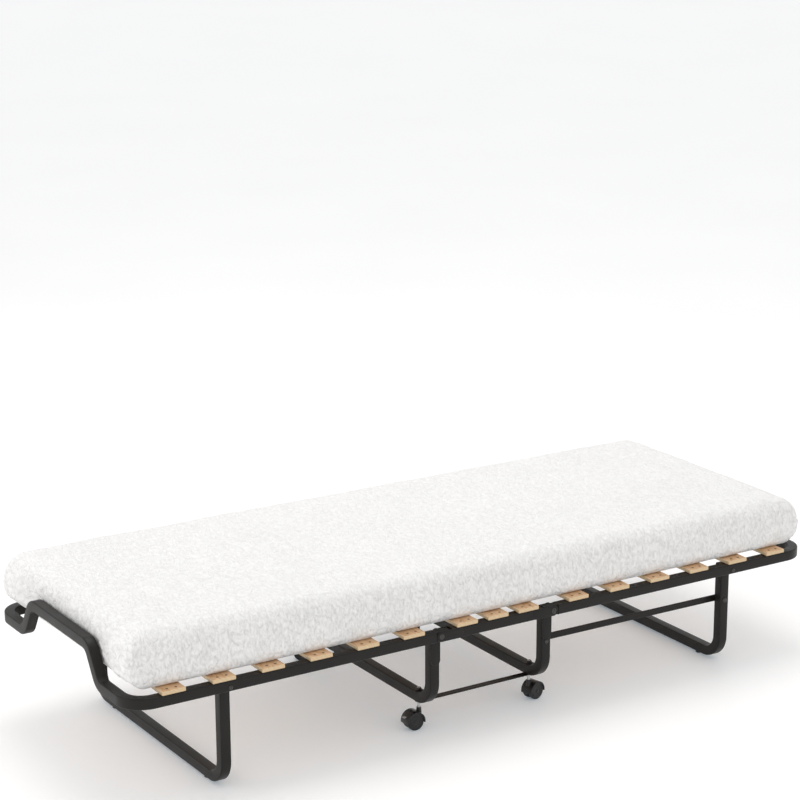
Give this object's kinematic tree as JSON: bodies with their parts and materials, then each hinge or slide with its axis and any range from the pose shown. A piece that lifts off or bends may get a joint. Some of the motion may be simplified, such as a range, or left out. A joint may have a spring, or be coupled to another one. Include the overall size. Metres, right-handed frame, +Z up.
{
  "type": "rollaway bed",
  "caption": "Folding single bed on casters: square steel tube frame with a raised end bar at both ends, birch slats, swing-down end legs and a thick foam mattress.",
  "frame": {"origin": "on the floor, under the centre of the bed", "axes": "+X along the bed, +Y across it, +Z up; -Y is the near side in the nodes' names, and -X the left"},
  "size_m": [2.1, 0.7966, 0.4506],
  "materials": {
    "frame": "satin black powder coat",
    "fasteners": "black zinc",
    "slats": "clear-coated birch plywood",
    "mattress": "white embossed knit cover",
    "black_plastic": "satin black",
    "wheels": "satin black",
    "grey_plastic": "mid grey"
  },
  "bodies": {
    "frame_base": {"centre_rail_near": "frame", "centre_rail_far": "frame", "centre_leg_left": "frame", "centre_leg_right": "frame", "leg_strap_near": "frame", "leg_strap_far": "frame", "slat_centre_1": "slats", "slat_centre_2": "slats", "slat_centre_3": "slats", "mattress_centre": "mattress", "fold_bolt_left_near": "fasteners", "fold_bolt_left_far": "fasteners", "fold_bolt_right_near": "fasteners", "fold_bolt_right_far": "fasteners", "tie_bolt_inner_left": "fasteners", "tie_bolt_inner_right": "fasteners"},
    "section_left": {"section_frame_left": "frame", "slat_left_1": "slats", "slat_left_2": "slats", "slat_left_3": "slats", "slat_left_4": "slats", "slat_left_5": "slats", "slat_left_6": "slats", "leg_pivot_bolt_left_near": "fasteners", "leg_pivot_bolt_left_far": "fasteners", "mattress_end_left": "mattress"},
    "end_leg_left": {"end_leg_left": "frame", "glide_left_near": "black_plastic", "glide_left_far": "black_plastic", "tie_bolt_outer_left": "fasteners"},
    "tie_bar_left": {"tie_bar_left": "frame"},
    "mattress_bend_left": {"mattress_bend_left": "mattress"},
    "mattress_long_left": {"mattress_long_left": "mattress"},
    "section_right": {"section_frame_right": "frame", "slat_right_1": "slats", "slat_right_2": "slats", "slat_right_3": "slats", "slat_right_4": "slats", "slat_right_5": "slats", "slat_right_6": "slats", "leg_pivot_bolt_right_near": "fasteners", "leg_pivot_bolt_right_far": "fasteners", "mattress_end_right": "mattress"},
    "end_leg_right": {"end_leg_right": "frame", "glide_right_near": "black_plastic", "glide_right_far": "black_plastic", "tie_bolt_outer_right": "fasteners"},
    "tie_bar_right": {"tie_bar_right": "frame"},
    "mattress_bend_right": {"mattress_bend_right": "mattress"},
    "mattress_long_right": {"mattress_long_right": "mattress"},
    "caster_swivel_right_near": {"caster_housing_right_near": "black_plastic"},
    "caster_wheels_right_near": {"caster_wheels_right_near": "wheels"},
    "caster_swivel_right_far": {"caster_housing_right_far": "black_plastic"},
    "caster_wheels_right_far": {"caster_wheels_right_far": "wheels"},
    "caster_swivel_left_far": {"caster_housing_left_far": "black_plastic"},
    "caster_wheels_left_far": {"caster_wheels_left_far": "wheels"},
    "brake_left_far": {"brake_lever_left_far": "grey_plastic"},
    "caster_swivel_left_near": {"caster_housing_left_near": "black_plastic"},
    "caster_wheels_left_near": {"caster_wheels_left_near": "wheels"},
    "brake_left_near": {"brake_lever_left_near": "grey_plastic"}
  },
  "joints": [
    {"name": "fold_left", "type": "hinge", "parent": "frame_base", "child": "section_left", "pos_m": [-0.1745, 0, 0.286], "axis": [0, 1, 0], "range_deg": [0, 90]},
    {"name": "leg_swing_left", "type": "hinge", "parent": "section_left", "child": "end_leg_left", "pos_m": [-0.7795, 0, 0.282], "axis": [0, 1, 0], "range_deg": [-78, 0]},
    {"name": "tie_swing_left", "type": "hinge", "parent": "frame_base", "child": "tie_bar_left", "pos_m": [-0.1745, 0, 0.19], "axis": [0, 1, 0], "range_deg": [0, 89]},
    {"name": "mattress_inner_bend_left", "type": "hinge", "parent": "frame_base", "child": "mattress_bend_left", "pos_m": [-0.06788, 0, 0.3106], "axis": [0, 1, 0], "range_deg": [0, 45]},
    {"name": "mattress_outer_bend_left", "type": "hinge", "parent": "mattress_bend_left", "child": "mattress_long_left", "pos_m": [-0.18388, 0, 0.3106], "axis": [0, 1, 0], "range_deg": [0, 45]},
    {"name": "fold_right", "type": "hinge", "parent": "frame_base", "child": "section_right", "pos_m": [0.1745, 0, 0.286], "axis": [0, -1, 0], "range_deg": [0, 90]},
    {"name": "leg_swing_right", "type": "hinge", "parent": "section_right", "child": "end_leg_right", "pos_m": [0.7795, 0, 0.282], "axis": [0, -1, 0], "range_deg": [-78, 0]},
    {"name": "tie_swing_right", "type": "hinge", "parent": "frame_base", "child": "tie_bar_right", "pos_m": [0.1745, 0, 0.19], "axis": [0, -1, 0], "range_deg": [0, 89]},
    {"name": "mattress_inner_bend_right", "type": "hinge", "parent": "frame_base", "child": "mattress_bend_right", "pos_m": [0.06788, 0, 0.3106], "axis": [0, -1, 0], "range_deg": [0, 45]},
    {"name": "mattress_outer_bend_right", "type": "hinge", "parent": "mattress_bend_right", "child": "mattress_long_right", "pos_m": [0.18388, 0, 0.3106], "axis": [0, -1, 0], "range_deg": [0, 45]},
    {"name": "caster_swivel_right_near", "type": "hinge", "parent": "frame_base", "child": "caster_swivel_right_near", "pos_m": [0.1745, -0.286, 0.06], "axis": [0, 0, 1], "continuous": true},
    {"name": "caster_roll_right_near", "type": "hinge", "parent": "caster_swivel_right_near", "child": "caster_wheels_right_near", "pos_m": [0.1911, -0.28232, 0.0235], "axis": [-0.2164, 0.9763, 0], "continuous": true},
    {"name": "caster_swivel_right_far", "type": "hinge", "parent": "frame_base", "child": "caster_swivel_right_far", "pos_m": [0.1745, 0.286, 0.06], "axis": [0, 0, 1], "continuous": true},
    {"name": "caster_roll_right_far", "type": "hinge", "parent": "caster_swivel_right_far", "child": "caster_wheels_right_far", "pos_m": [0.18425, 0.29993, 0.0235], "axis": [-0.8192, 0.5736, 0], "continuous": true},
    {"name": "caster_swivel_left_far", "type": "hinge", "parent": "frame_base", "child": "caster_swivel_left_far", "pos_m": [-0.1745, 0.286, 0.06], "axis": [0, 0, 1], "continuous": true},
    {"name": "caster_roll_left_far", "type": "hinge", "parent": "caster_swivel_left_far", "child": "caster_wheels_left_far", "pos_m": [-0.18843, 0.29575, 0.0235], "axis": [-0.5736, -0.8192, 0], "continuous": true},
    {"name": "brake_press_left_far", "type": "hinge", "parent": "caster_swivel_left_far", "child": "brake_left_far", "pos_m": [-0.20071, 0.30435, 0.037], "axis": [-0.5736, -0.8192, 0], "range_deg": [0, 12]},
    {"name": "caster_swivel_left_near", "type": "hinge", "parent": "frame_base", "child": "caster_swivel_left_near", "pos_m": [-0.1745, -0.286, 0.06], "axis": [0, 0, 1], "continuous": true},
    {"name": "caster_roll_left_near", "type": "hinge", "parent": "caster_swivel_left_near", "child": "caster_wheels_left_near", "pos_m": [-0.19149, -0.28541, 0.0235], "axis": [-0.0349, -0.9994, 0], "continuous": true},
    {"name": "brake_press_left_near", "type": "hinge", "parent": "caster_swivel_left_near", "child": "brake_left_near", "pos_m": [-0.20648, -0.28488, 0.037], "axis": [-0.0349, -0.9994, 0], "range_deg": [0, 12]}
  ],
  "couplings": [
    {"joint": "leg_swing_left", "follows": "fold_left", "ratio": -0.8666},
    {"joint": "tie_swing_left", "follows": "fold_left", "ratio": 0.979},
    {"joint": "mattress_inner_bend_left", "follows": "fold_left", "ratio": 0.5},
    {"joint": "mattress_outer_bend_left", "follows": "fold_left", "ratio": 0.5},
    {"joint": "leg_swing_right", "follows": "fold_right", "ratio": -0.8666},
    {"joint": "tie_swing_right", "follows": "fold_right", "ratio": 0.979},
    {"joint": "mattress_inner_bend_right", "follows": "fold_right", "ratio": 0.5},
    {"joint": "mattress_outer_bend_right", "follows": "fold_right", "ratio": 0.5}
  ]
}
